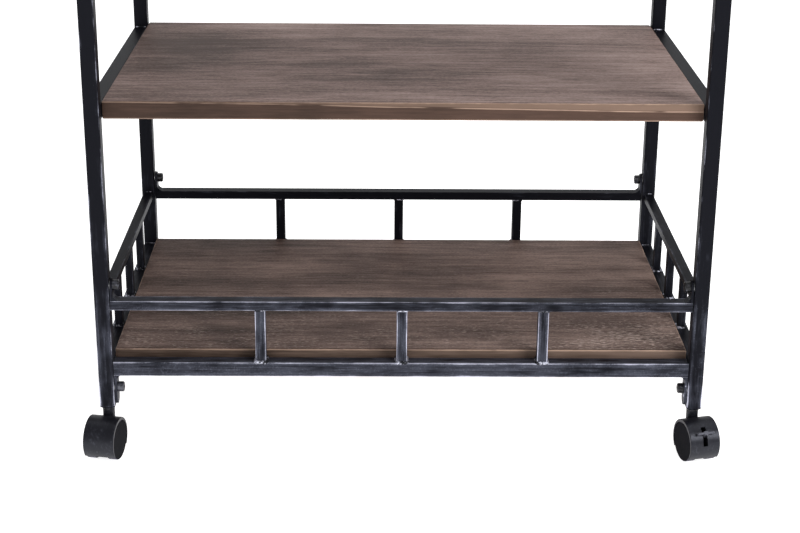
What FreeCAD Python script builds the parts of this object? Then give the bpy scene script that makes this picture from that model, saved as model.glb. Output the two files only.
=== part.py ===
"""Bar cart on wheels: welded square-tube side frames, bolted gallery panels, three wooden shelves
and four swivelling twin-wheel casters.

Units are millimetres. X runs along the cart, Y runs from its front to its back and Z is up.
The origin is on the floor, under the middle of the cart.
"""
import FreeCAD
import Part
import math
import os

Vector = FreeCAD.Vector

# ---------------------------------------------------------------- overall sizes
cart_length = 760.0  # over the outer faces of the posts, along X
cart_depth = 466.0  # over the outer faces of the posts, along Y
cart_height = 864.0  # floor to the upper face of the top shelf

# ---------------------------------------------------------------- square tube
tube = 19.0
tube_wall = 1.2
tube_corner = 2.0  # outer corner radius

# ---------------------------------------------------------------- shelves
top_board = 22.0
middle_board = 22.0
lower_board = 16.0
middle_shelf_height = 457.0  # floor to its upper face
lower_shelf_rise = 69.1  # foot of the posts to its upper face
middle_shelf_gap = 0.5  # to the rails and the rear posts at each end
lower_shelf_end_gap = 0.6  # to the lower side rails
lower_shelf_front_gap = 3.6  # to the lower front and rear bars
board_edge = 1.2  # radius of every edge of a board

# ---------------------------------------------------------------- rails and balusters
lower_bar_drop = 9.0  # from the lower shelf's upper face down to the top of the bars
gallery_rail_rise = 72.5  # lower shelf's upper face to the top of the front and rear gallery rails
gallery_rail_depth = 18.0  # front to back
gallery_rail_thickness = 12.0  # vertical
side_gallery_rise = 71.5  # lower shelf's upper face to the top of the side gallery rails
side_gallery_width = 13.0
side_gallery_thickness = 10.0  # vertical
bar_edge = 0.9  # edge radius of the solid gallery bars
baluster_width = 13.0  # along the rail
panel_baluster_depth = 16.0  # across the rail, front and rear
side_baluster_depth = 10.0  # across the rail, left and right
balusters_per_panel = 3
front_baluster_pitch = 176.0

# ---------------------------------------------------------------- bolted end tabs of the panels
tab_thickness = 3.0
tab_width = 18.0
tab_hole_clearance = 0.25  # radial, round the bolt
tab_foot_radius = 7.5  # concave foot where a tab meets its rail
tab_foot_width = 14.0
lower_tab_lift = 1.0  # from the foot of the post up to the round end of a lower tab
upper_bolt_rise = 18.5  # bolt centre above the gallery rail
lower_bolt_drop = 18.0  # bolt centre below the lower bar

bolt_size = 8.0  # nominal thread diameter
bolt_head = 13.0
bolt_head_height = 8.0
bolt_head_chamfer = 1.1
bolt_length = 14.0
bolt_socket = 6.0  # across flats
bolt_socket_depth = 4.0
thread_clearance = 0.05  # radial

rivet_nut_wall = 1.5  # round the thread
rivet_nut_flange_reach = 1.75  # beyond the body
rivet_nut_flange_thickness = 0.8
rivet_nut_length = 12.0
rivet_nut_side_gap = 1.3  # from its bulge to the post's side walls
rivet_nut_bulge_length = 2.0

# ---------------------------------------------------------------- shelf brackets and screws
bracket_thickness = 3.0
bracket_width = 30.0  # along the rail
bracket_reach = 25.0  # under the board, from the rail's inner face
bracket_offset = 150.0  # from the middle of the rail to each bracket
screw_inset = 15.0  # from the rail's inner face to the screw
screw_size = 4.0
screw_hole_clearance = 0.3  # radial, in the bracket
screw_head = 8.0
screw_head_height = 2.4
screw_length = 13.0

# ---------------------------------------------------------------- post plugs and caster stems
plug_cap = 4.5  # visible height of the plug below the post
plug_chamfer = 3.0
plug_nut_gap = 1.5  # from the top of the plug to the rivet nut above it
plug_clearance = 0.1
stem_grip = 10.0
stem_collar = 14.0
stem_collar_height = 2.3
stem_pin = 8.0
stem_pin_length = 26.0
running_clearance = 0.05  # radial, between a pin and the part that turns on it
collar_gap = 0.2  # between the collar and the neck of the hood

# ---------------------------------------------------------------- casters
wheel_radius = 25.0
wheel_width = 12.2
wheel_edge = 1.4
wheel_gap = 15.0  # between the two wheels
wheel_hub = 6.5
wheel_back_recess = 4.0
wheel_back_rim = 5.0  # left round the recess
wheel_skin = 1.8  # left between the blind bore and the outer face
axle_size = 6.0
axle_end_gap = 0.2
caster_trail = 18.0  # stem axis to axle
hood_skin = 2.1  # thickness of the drum level with the axle
hood_lift = 1.6  # centre of the hood's outer curve above the axle
hood_side_reach = 0.2  # hood beyond the outer face of the wheel
hood_wheel_gap = 0.7  # radial, inside the hood
hood_edge = 0.8
hood_skirt = 15.0  # lower edge of the hood below the axle
web_side_gap = 1.0  # from the middle web to each wheel
neck_size = 15.2
neck_rise = 5.0  # top of the neck above the top of the drum

# ---------------------------------------------------------------- brake lever
lever_angle = 40.0  # above the horizontal, at rest
lever_pivot_radius = 13.0  # from the axle
lever_hub = 8.0
lever_thickness = 4.4
lever_width = 5.4
lever_side_gap = 0.35
lever_pin = 3.0
paddle_hood_gap = 0.5  # from the drum's furthest point to the paddle
paddle_reach = 5.5  # along the lever
paddle_width = 22.4
paddle_thickness = 3.0
paddle_edge = 0.9
slot_low_angle = 11.0
slot_high_angle = 58.0

# ---------------------------------------------------------------- how each caster stands
# corner name: (side along X, side along Y, turn about Z in degrees, has a brake)
CASTERS = {
    "front_left": (-1, -1, -10.8, False),
    "front_right": (1, -1, 14.6, True),
    "rear_right": (1, 1, 170.2, False),
    "rear_left": (-1, 1, 194.6, True),
}

# ---------------------------------------------------------------- sizes worked out from the above
post_x = (cart_length - tube) / 2
post_y = (cart_depth - tube) / 2
inner_x = cart_length / 2 - tube  # inner faces of the posts and side rails
inner_y = cart_depth / 2 - tube
axle_height = wheel_radius
hood_inner_radius = wheel_radius + hood_wheel_gap
hood_radius = hood_inner_radius + hood_skin
hood_bottom = axle_height - hood_skirt
hood_top = axle_height + hood_lift + hood_radius
neck_top = hood_top + neck_rise
plug_bottom = neck_top + collar_gap + stem_collar_height
post_bottom = plug_bottom + plug_cap
post_top = cart_height - top_board
tube_bore = tube - 2 * tube_wall
lower_shelf_height = post_bottom + lower_shelf_rise
gallery_rail_height = lower_shelf_height + gallery_rail_rise
side_gallery_height = lower_shelf_height + side_gallery_rise
side_rail_length = 2 * inner_y
panel_half_length = inner_x - rivet_nut_flange_thickness
lower_bar_top = lower_shelf_height - lower_bar_drop
lower_bar_bottom = lower_bar_top - tube
middle_board_bottom = middle_shelf_height - middle_board
lower_board_bottom = lower_shelf_height - lower_board
upper_bolt_height = gallery_rail_height + upper_bolt_rise
lower_bolt_height = lower_bar_bottom - lower_bolt_drop
tab_hole = bolt_size + 2 * tab_hole_clearance
lower_tab_reach = lower_bar_bottom - post_bottom - lower_tab_lift - tab_width / 2
screw_hole = screw_size + 2 * screw_hole_clearance
rivet_nut_body = bolt_size + 2 * rivet_nut_wall
rivet_nut_flange = rivet_nut_body + 2 * rivet_nut_flange_reach
rivet_nut_bulge = tube_bore - 2 * rivet_nut_side_gap
plug_length = lower_bolt_height - rivet_nut_bulge / 2 - plug_nut_gap - post_bottom
stem_grip_length = plug_cap + plug_length
side_baluster_pitch = side_rail_length / (balusters_per_panel + 1)
wheel_inner_face = wheel_gap / 2
wheel_outer_face = wheel_inner_face + wheel_width
wheel_bore = axle_size + 2 * running_clearance
hood_half_width = wheel_outer_face + hood_side_reach
web_half_width = wheel_inner_face - web_side_gap
wheel_back_radius = wheel_radius - wheel_back_rim
paddle_start_radius = hood_radius + hood_lift + paddle_hood_gap
lever_tip_radius = paddle_start_radius + paddle_reach


# ---------------------------------------------------------------- building blocks
def rounded_outline(width, depth, radius, height=0.0):
    """Closed outline with rounded corners, width along X and depth along Y, at a height."""
    half_width = width / 2
    half_depth = depth / 2
    diagonal = radius * math.sqrt(0.5)
    edges = []
    for quarter in range(4):
        turn = math.radians(90 * quarter)
        reach = (half_width, half_depth) if quarter % 2 == 0 else (half_depth, half_width)
        centre = Vector(reach[0] - radius, reach[1] - radius, height)
        arc_start = turned(centre + Vector(radius, 0, 0), turn)
        arc_middle = turned(centre + Vector(diagonal, diagonal, 0), turn)
        arc_end = turned(centre + Vector(0, radius, 0), turn)
        if edges:
            edges.append(Part.makeLine(edges[-1].Vertexes[-1].Point, arc_start))
        edges.append(Part.Arc(arc_start, arc_middle, arc_end).toShape())
    edges.append(Part.makeLine(edges[-1].Vertexes[-1].Point, edges[0].Vertexes[0].Point))
    return Part.Wire(edges)


def rounded_bar(width, depth, length, radius):
    """Bar standing on the XY plane, width along X and depth along Y, with rounded long edges."""
    return Part.Face(rounded_outline(width, depth, radius)).extrude(Vector(0, 0, length))


def turned(point, angle):
    """Point turned about Z by an angle in radians."""
    cosine = math.cos(angle)
    sine = math.sin(angle)
    return Vector(point.x * cosine - point.y * sine, point.x * sine + point.y * cosine, point.z)


def square_tube(length):
    """Hollow square tube standing on the XY plane."""
    outer = rounded_bar(tube, tube, length, tube_corner)
    return outer.cut(rounded_bar(tube_bore, tube_bore, length, tube_corner - tube_wall))


def cylinder(radius, length, start, direction):
    """Cylinder from a start point along a direction."""
    return Part.makeCylinder(radius, length, start, direction)


def centred_box(size_x, size_y, size_z, centre):
    """Box with its middle at a point."""
    corner = centre - Vector(size_x / 2, size_y / 2, size_z / 2)
    return Part.makeBox(size_x, size_y, size_z, corner)


def lay_along_x(shape, start_x, y, z):
    """Lay a standing bar along +X from start_x, with its middle line at y and z."""
    laid = shape.copy()
    laid.rotate(Vector(0, 0, 0), Vector(0, 1, 0), 90)
    laid.translate(Vector(start_x, y, z))
    return laid


def lay_along_y(shape, x, start_y, z):
    """Lay a standing bar along +Y from start_y, with its middle line at x and z."""
    laid = shape.copy()
    laid.rotate(Vector(0, 0, 0), Vector(1, 0, 0), -90)
    laid.translate(Vector(x, start_y, z))
    return laid


def moved(shape, x, y, z):
    """Copy of a shape moved by x, y and z."""
    copy = shape.copy()
    copy.translate(Vector(x, y, z))
    return copy


def facing(shape, side):
    """Copy of a shape that points to +X, or turned about Z to point to -X."""
    copy = shape.copy()
    if side < 0:
        copy.rotate(Vector(0, 0, 0), Vector(0, 0, 1), 180)
    return copy


def export(name, shape):
    """Write one node as a STEP file."""
    shape.exportStep(os.path.join("parts", name + ".step"))


# ---------------------------------------------------------------- side frames
def make_post(side_x, side_y):
    """Corner post with the two holes for its rivet nuts in the wall that faces along the cart."""
    post = moved(square_tube(post_top - post_bottom), side_x * post_x, side_y * post_y, post_bottom)
    for height in (lower_bolt_height, upper_bolt_height):
        start = Vector(side_x * (inner_x - 1), side_y * post_y, height)
        hole = cylinder(rivet_nut_body / 2, tube_wall + 2, start, Vector(side_x, 0, 0))
        post = post.cut(hole)
    return post


def make_side_frames():
    """Posts, tube rails, gallery rails and balusters of the two welded side frames."""
    for name, (side_x, side_y, _turn, _brake) in CASTERS.items():
        export("post_" + name, make_post(side_x, side_y))
    rail_tube = square_tube(side_rail_length)
    gallery = rounded_bar(side_gallery_width, side_gallery_thickness, side_rail_length, bar_edge)
    gallery_middle = side_gallery_height - side_gallery_thickness / 2
    foot = lower_bar_top
    rise = side_gallery_height - side_gallery_thickness - foot
    baluster = rounded_bar(side_baluster_depth, baluster_width, rise, bar_edge)
    rail_heights = {
        "top_rail": post_top - tube / 2,
        "middle_rail": middle_board_bottom + tube / 2,
        "lower_rail": lower_bar_top - tube / 2,
    }
    for side, word in ((-1, "left"), (1, "right")):
        x = side * post_x
        for rail, height in rail_heights.items():
            export(word + "_" + rail, lay_along_y(rail_tube, x, -inner_y, height))
        export(word + "_gallery_rail", lay_along_y(gallery, x, -inner_y, gallery_middle))
        places = row_of(balusters_per_panel, side_baluster_pitch)
        bars = [moved(baluster, x, place, foot) for place in places]
        export(word + "_balusters", Part.makeCompound(bars))


def row_of(count, pitch):
    """Evenly spaced places either side of zero."""
    return [(index - (count - 1) / 2) * pitch for index in range(count)]


# ---------------------------------------------------------------- front and rear gallery panels
def make_end_tab(hole_rise, end_rise):
    """Bolting tab for the +X end: foot on z = 0, outer face on x = 0, round end about end_rise."""
    plate = Part.makeBox(
        tab_thickness, tab_width, end_rise, Vector(-tab_thickness, -tab_width / 2, 0)
    )
    end = cylinder(tab_width / 2, tab_thickness, Vector(-tab_thickness, 0, end_rise), Vector(1, 0, 0))
    corner = Vector(-tab_thickness, -tab_foot_width / 2, 0)
    toe = corner - Vector(tab_foot_radius, 0, 0)
    shoulder = corner + Vector(0, 0, tab_foot_radius)
    hollow = tab_foot_radius * (1 - math.sqrt(0.5))
    middle = corner + Vector(-hollow, 0, hollow)
    outline = Part.Wire([
        Part.makeLine(corner, toe),
        Part.Arc(toe, middle, shoulder).toShape(),
        Part.makeLine(shoulder, corner),
    ])
    foot = Part.Face(outline).extrude(Vector(0, tab_foot_width, 0))
    hole_start = Vector(-tab_thickness - 1, 0, hole_rise)
    hole = cylinder(tab_hole / 2, tab_thickness + 2, hole_start, Vector(1, 0, 0))
    return plate.fuse([end, foot]).cut(hole).removeSplitter()


def make_panel(side_y, word):
    """One bolted gallery panel: gallery rail, lower bar, balusters and four end tabs."""
    y = side_y * post_y
    length = 2 * panel_half_length
    gallery = rounded_bar(gallery_rail_thickness, gallery_rail_depth, length, bar_edge)
    gallery_middle = gallery_rail_height - gallery_rail_thickness / 2
    export(word + "_gallery_rail", lay_along_x(gallery, -panel_half_length, y, gallery_middle))
    bar = lay_along_x(square_tube(length), -panel_half_length, y, lower_bar_top - tube / 2)
    export(word + "_lower_bar", bar)
    rise = gallery_rail_height - gallery_rail_thickness - lower_bar_top
    baluster = rounded_bar(baluster_width, panel_baluster_depth, rise, bar_edge)
    places = row_of(balusters_per_panel, front_baluster_pitch)
    bars = [moved(baluster, place, y, lower_bar_top) for place in places]
    export(word + "_balusters", Part.makeCompound(bars))
    upper_tab = make_end_tab(upper_bolt_rise, upper_bolt_rise)
    lower_tab = make_end_tab(lower_bolt_drop, lower_tab_reach)
    lower_tab.rotate(Vector(0, 0, 0), Vector(1, 0, 0), 180)
    tabs = []
    for side_x in (-1, 1):
        x = side_x * panel_half_length
        tabs.append(moved(facing(upper_tab, side_x), x, y, gallery_rail_height))
        tabs.append(moved(facing(lower_tab, side_x), x, y, lower_bar_bottom))
    export(word + "_end_tabs", Part.makeCompound(tabs))


def make_bolt():
    """Socket-head bolt along +X with its bearing face on x = 0."""
    head = cylinder(bolt_head / 2, bolt_head_height, Vector(-bolt_head_height, 0, 0), Vector(1, 0, 0))
    rim = [edge for edge in head.Edges if is_round_at(edge, -bolt_head_height)]
    head = head.makeChamfer(bolt_head_chamfer, rim)
    shank = cylinder(bolt_size / 2 - thread_clearance, bolt_length, Vector(0, 0, 0), Vector(1, 0, 0))
    socket_radius = bolt_socket / math.sqrt(3)
    corners = [
        Vector(
            -bolt_head_height,
            socket_radius * math.cos(math.radians(60 * step)),
            socket_radius * math.sin(math.radians(60 * step)),
        )
        for step in range(6)
    ]
    socket = Part.Face(Part.makePolygon(corners + corners[:1])).extrude(Vector(bolt_socket_depth, 0, 0))
    return head.fuse(shank).cut(socket)


def is_round_at(edge, x):
    """Whether an edge is a full circle in the plane at x."""
    circle = edge.Curve.TypeId == "Part::GeomCircle"
    return circle and abs(edge.CenterOfMass.x - x) < 1e-6


def make_rivet_nut():
    """Rivet nut along +X with the post's inner face on x = 0 and its flange in front of it."""
    flange = cylinder(
        rivet_nut_flange / 2,
        rivet_nut_flange_thickness,
        Vector(-rivet_nut_flange_thickness, 0, 0),
        Vector(1, 0, 0),
    )
    body = cylinder(rivet_nut_body / 2, rivet_nut_length, Vector(0, 0, 0), Vector(1, 0, 0))
    bulge = cylinder(
        rivet_nut_bulge / 2, rivet_nut_bulge_length, Vector(tube_wall, 0, 0), Vector(1, 0, 0)
    )
    thread = cylinder(bolt_size / 2, rivet_nut_length + 4, Vector(-2, 0, 0), Vector(1, 0, 0))
    return flange.fuse([body, bulge]).cut(thread).removeSplitter()


def make_panel_fasteners():
    """Bolts and rivet nuts at every end tab."""
    bolt = make_bolt()
    nut = make_rivet_nut()
    bolts = []
    nuts = []
    for side_x in (-1, 1):
        for side_y in (-1, 1):
            for height in (lower_bolt_height, upper_bolt_height):
                bearing = side_x * (panel_half_length - tab_thickness)
                bolts.append(moved(facing(bolt, side_x), bearing, side_y * post_y, height))
                nuts.append(moved(facing(nut, side_x), side_x * inner_x, side_y * post_y, height))
    export("panel_bolts", Part.makeCompound(bolts))
    export("rivet_nuts", Part.makeCompound(nuts))


# ---------------------------------------------------------------- shelves and their fixings
def make_board(size_x, size_y, thickness, middle_y, bottom):
    """Wooden board with rounded edges and a blind pilot hole over every bracket screw."""
    board = centred_box(size_x, size_y, thickness, Vector(0, middle_y, bottom + thickness / 2))
    board = board.makeFillet(board_edge, board.Edges)
    for x, y in screw_places():
        depth = screw_length - bracket_thickness + 1
        board = board.cut(cylinder(screw_size / 2, depth, Vector(x, y, bottom), Vector(0, 0, 1)))
    return board


def screw_places():
    """Places of the four screws that hold each shelf."""
    x = inner_x - screw_inset
    return [(side * x, offset) for side in (-1, 1) for offset in (-bracket_offset, bracket_offset)]


def make_brackets(top, reach_under_rail):
    """Four bracket plates with their upper faces at a height, reaching back under the rail or not."""
    length = bracket_reach + reach_under_rail
    middle = inner_x - bracket_reach + length / 2
    plates = []
    for x, y in screw_places():
        side = 1 if x > 0 else -1
        centre = Vector(side * middle, y, top - bracket_thickness / 2)
        plate = centred_box(length, bracket_width, bracket_thickness, centre)
        start = Vector(x, y, top - bracket_thickness - 1)
        plates.append(plate.cut(cylinder(screw_hole / 2, bracket_thickness + 2, start, Vector(0, 0, 1))))
    return Part.makeCompound(plates)


def make_shelf_screws(board_bottoms):
    """Pan-head wood screws, up through every bracket into its board."""
    screws = []
    for bottom in board_bottoms:
        for x, y in screw_places():
            seat = bottom - bracket_thickness
            head_bottom = Vector(x, y, seat - screw_head_height)
            head = cylinder(screw_head / 2, screw_head_height, head_bottom, Vector(0, 0, 1))
            lower_edge = [edge for edge in head.Edges if edge.CenterOfMass.z < head_bottom.z + 0.01]
            head = head.makeFillet(screw_head_height * 0.6, lower_edge)
            shank = cylinder(screw_size / 2, screw_length, Vector(x, y, seat), Vector(0, 0, 1))
            screws.append(head.fuse(shank))
    return Part.makeCompound(screws)


def make_shelves():
    """Three boards, the brackets under them and the screws that hold them."""
    top = make_board(cart_length, cart_depth, top_board, 0, post_top)
    export("top_shelf", top)
    middle_length = 2 * (inner_x - middle_shelf_gap)
    middle_depth = cart_depth - tube
    middle = make_board(middle_length, middle_depth, middle_board, tube / 2, middle_board_bottom)
    export("middle_shelf", middle)
    lower_length = 2 * (inner_x - lower_shelf_end_gap)
    lower_depth = 2 * (inner_y - lower_shelf_front_gap)
    export("lower_shelf", make_board(lower_length, lower_depth, lower_board, 0, lower_board_bottom))
    export("top_shelf_brackets", make_brackets(post_top, 0))
    export("middle_shelf_brackets", make_brackets(middle_board_bottom, tube / 2))
    export("lower_shelf_ledges", make_brackets(lower_board_bottom, 0))
    bottoms = (post_top, middle_board_bottom, lower_board_bottom)
    export("shelf_screws", make_shelf_screws(bottoms))


# ---------------------------------------------------------------- casters
# A caster is built with its stem axis on Z, its axle along X and its wheels trailing towards -Y.
def axle_point(x=0.0):
    """Point on the axle's middle line."""
    return Vector(x, -caster_trail, axle_height)


def around_axle(radius, angle, x=0.0):
    """Point at a radius from the axle, at an angle above the horizontal on the trailing side."""
    turn = math.radians(angle)
    return axle_point(x) + Vector(0, -radius * math.cos(turn), radius * math.sin(turn))


def make_plug():
    """Plug in the foot of a post, with the bore that grips the caster's stem."""
    nose = tube - 2 * plug_chamfer
    nose_outline = rounded_outline(nose, nose, tube_corner)
    band_outline = rounded_outline(tube, tube, tube_corner, plug_chamfer)
    taper = Part.makeLoft([nose_outline, band_outline], True, True)
    band = moved(rounded_bar(tube, tube, plug_cap - plug_chamfer, tube_corner), 0, 0, plug_chamfer)
    inside = tube_bore - 2 * plug_clearance
    body = rounded_bar(inside, inside, plug_length, tube_corner - tube_wall)
    plug = taper.fuse([band, moved(body, 0, 0, plug_cap)]).removeSplitter()
    bore = cylinder(stem_grip / 2, plug_cap + plug_length + 2, Vector(0, 0, -1), Vector(0, 0, 1))
    return moved(plug.cut(bore), 0, 0, plug_bottom)


def make_stem():
    """Steel stem: grip in the plug, collar under it and the pin that the hood turns on."""
    up = Vector(0, 0, 1)
    grip = cylinder(stem_grip / 2, stem_grip_length, Vector(0, 0, plug_bottom), up)
    collar_bottom = plug_bottom - stem_collar_height
    collar = cylinder(stem_collar / 2, stem_collar_height, Vector(0, 0, collar_bottom), up)
    pin = cylinder(stem_pin / 2, stem_pin_length, Vector(0, 0, collar_bottom - stem_pin_length), up)
    return grip.fuse([collar, pin]).removeSplitter()


def make_wheel(side):
    """One wheel with a plain outer face, a blind bore and a recess round its hub inside."""
    along = Vector(side, 0, 0)
    wheel = cylinder(wheel_radius, wheel_width, axle_point(side * wheel_inner_face), along)
    rims = [edge for edge in wheel.Edges if edge.Closed]
    wheel = wheel.makeFillet(wheel_edge, rims)
    back_start = axle_point(side * (wheel_inner_face - 1))
    back = cylinder(wheel_back_radius, wheel_back_recess + 1, back_start, along)
    back = back.cut(cylinder(wheel_hub, wheel_back_recess + 1, back_start, along))
    bore = cylinder(wheel_bore / 2, wheel_width - wheel_skin + 1, back_start, along)
    return wheel.cut(back).cut(bore)


def make_axle():
    """Axle pressed through the hood's web, with a wheel on each end."""
    half = wheel_outer_face - wheel_skin - axle_end_gap
    return cylinder(axle_size / 2, 2 * half, axle_point(-half), Vector(1, 0, 0))


def make_hood(has_brake):
    """Hood: drum-shaped cover over both wheels, middle web, neck and stem bore."""
    up = Vector(0, 0, 1)
    width = 2 * hood_half_width
    drum_start = axle_point(-hood_half_width) + Vector(0, 0, hood_lift)
    drum = cylinder(hood_radius, width, drum_start, Vector(1, 0, 0))
    drum = drum.makeFillet(hood_edge, [edge for edge in drum.Edges if edge.Closed])
    neck_start = axle_height + hood_lift
    neck = cylinder(neck_size / 2, neck_top - neck_start, Vector(0, 0, neck_start), up)
    hood = drum.fuse(neck)
    for side in (-1, 1):
        start = axle_point(side * web_half_width)
        hood = hood.cut(cylinder(hood_inner_radius, width, start, Vector(side, 0, 0)))
    reach = 2 * (hood_radius + caster_trail)
    below = centred_box(reach, 2 * reach, hood_bottom * 2, Vector(0, 0, 0))
    hood = hood.cut(below)
    bore_length = stem_pin_length + 2
    bore_start = Vector(0, 0, neck_top - bore_length)
    hood = hood.cut(cylinder(stem_pin / 2 + running_clearance, bore_length + 1, bore_start, up))
    hood = hood.cut(cylinder(axle_size / 2, width, axle_point(-width / 2), Vector(1, 0, 0)))
    if has_brake:
        hood = hood.cut(make_lever_pocket())
        hood = hood.cut(make_lever_pin())
    return hood.removeSplitter()


def make_lever_pocket():
    """Space in the web and the slot in the drum that the brake lever moves in."""
    half = lever_width / 2 + lever_side_gap
    pivot = around_axle(lever_pivot_radius, lever_angle, -half)
    across = Vector(1, 0, 0)
    clear_hub = lever_hub / 2 + lever_side_gap
    outside = hood_radius + hood_lift + 2
    corners = [
        pivot,
        around_axle(lever_pivot_radius, slot_low_angle - 30, -half),
        around_axle(outside, slot_low_angle, -half),
        around_axle(outside * 1.2, (slot_low_angle + slot_high_angle) / 2, -half),
        around_axle(outside, slot_high_angle, -half),
        around_axle(lever_pivot_radius, slot_high_angle + 20, -half),
    ]
    wedge = Part.Face(Part.makePolygon(corners + corners[:1])).extrude(across * (2 * half))
    return wedge.fuse(cylinder(clear_hub, 2 * half, pivot, across))


def make_lever_pin():
    """Pin across the web that the brake lever turns on."""
    start = around_axle(lever_pivot_radius, lever_angle, -web_half_width)
    return cylinder(lever_pin / 2, 2 * web_half_width, start, Vector(1, 0, 0))


def make_lever():
    """Brake lever: hub on its pin, arm through the slot and a wide foot paddle."""
    across = Vector(1, 0, 0)
    hub_start = around_axle(lever_pivot_radius, lever_angle, -lever_width / 2)
    hub = cylinder(lever_hub / 2, lever_width, hub_start, across)
    arm_length = lever_tip_radius - lever_pivot_radius
    arm = Part.makeBox(
        lever_width,
        arm_length,
        lever_thickness,
        Vector(-lever_width / 2, -lever_tip_radius, -lever_thickness / 2),
    )
    paddle = Part.makeBox(
        paddle_width,
        lever_tip_radius - paddle_start_radius,
        paddle_thickness,
        Vector(-paddle_width / 2, -lever_tip_radius, -paddle_thickness / 2),
    )
    paddle = paddle.makeFillet(paddle_edge, paddle.Edges)
    shank = arm.fuse(paddle)
    shank.rotate(Vector(0, 0, 0), Vector(1, 0, 0), -lever_angle)
    shank.translate(axle_point())
    bore_start = around_axle(lever_pivot_radius, lever_angle, -lever_width)
    bore = cylinder(lever_pin / 2 + running_clearance, 2 * lever_width, bore_start, across)
    return hub.fuse(shank).cut(bore).removeSplitter()


def place_caster(shape, side_x, side_y, turn):
    """Turn a caster piece about its stem and move it under its post."""
    placed = shape.copy()
    placed.rotate(Vector(0, 0, 0), Vector(0, 0, 1), turn)
    placed.translate(Vector(side_x * post_x, side_y * post_y, 0))
    return placed


def make_casters():
    """Plugs, stems, hoods, axles, wheels and brakes of the four casters."""
    hoods = {False: make_hood(False), True: make_hood(True)}
    lever = make_lever()
    lever_pin_shape = make_lever_pin()
    plugs = []
    for name, (side_x, side_y, turn, has_brake) in CASTERS.items():
        plugs.append(moved(make_plug(), side_x * post_x, side_y * post_y, 0))
        inner_side = 1 if side_x * math.cos(math.radians(turn)) < 0 else -1
        pieces = {
            "_caster_stem": make_stem(),
            "_caster_hood": hoods[has_brake],
            "_caster_axle": make_axle(),
            "_inner_wheel": make_wheel(inner_side),
            "_outer_wheel": make_wheel(-inner_side),
        }
        if has_brake:
            pieces["_brake_lever"] = lever
            pieces["_brake_pin"] = lever_pin_shape
        for suffix, shape in pieces.items():
            export(name + suffix, place_caster(shape, side_x, side_y, turn))
    export("post_plugs", Part.makeCompound(plugs))


def main():
    """Build and write every node."""
    os.makedirs("parts", exist_ok=True)
    make_side_frames()
    make_panel(-1, "front")
    make_panel(1, "rear")
    make_panel_fasteners()
    make_shelves()
    make_casters()


main()
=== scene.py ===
"""Looks of a rolling bar cart: burnished steel frame, stained wooden shelves and black nylon casters.

Every length is in metres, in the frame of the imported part: X along the cart, Y from front to back, Z up.
"""

from __future__ import annotations

import logging
import math
import random
from collections.abc import Iterable
from dataclasses import dataclass, field
from enum import Enum
from itertools import product

import bmesh
import bpy
from mathutils import Matrix, Vector, noise

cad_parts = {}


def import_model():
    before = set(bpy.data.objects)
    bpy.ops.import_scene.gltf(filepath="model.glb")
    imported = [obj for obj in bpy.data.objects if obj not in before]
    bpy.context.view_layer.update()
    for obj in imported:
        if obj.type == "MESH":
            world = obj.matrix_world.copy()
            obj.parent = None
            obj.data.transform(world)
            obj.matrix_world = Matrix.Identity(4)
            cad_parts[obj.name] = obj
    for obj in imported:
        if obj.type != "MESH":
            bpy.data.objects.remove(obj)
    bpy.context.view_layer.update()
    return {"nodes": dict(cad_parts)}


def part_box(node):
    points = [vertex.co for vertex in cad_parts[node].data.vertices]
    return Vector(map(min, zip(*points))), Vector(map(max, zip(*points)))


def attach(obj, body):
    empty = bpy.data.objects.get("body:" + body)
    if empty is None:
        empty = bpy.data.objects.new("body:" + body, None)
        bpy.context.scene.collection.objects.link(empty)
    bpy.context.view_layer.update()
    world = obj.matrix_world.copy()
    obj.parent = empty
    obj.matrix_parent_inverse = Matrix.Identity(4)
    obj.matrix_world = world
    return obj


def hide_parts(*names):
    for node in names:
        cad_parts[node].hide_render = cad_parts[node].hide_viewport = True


LOG = logging.getLogger("bar_cart")
MM = 0.001
CORNERS = ("front_left", "front_right", "rear_right", "rear_left")
CORNERS_WITHOUT_BRAKE = ("front_left", "rear_right")
PANEL_BALUSTERS = 3
BALUSTER_WIDTH = 13.0 * MM
Colour = tuple[float, float, float]
Triple = tuple[float, float, float]


class Axis(Enum):
    """Axis that a bar or a board's grain runs along."""

    X = 0
    Y = 1
    Z = 2


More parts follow.
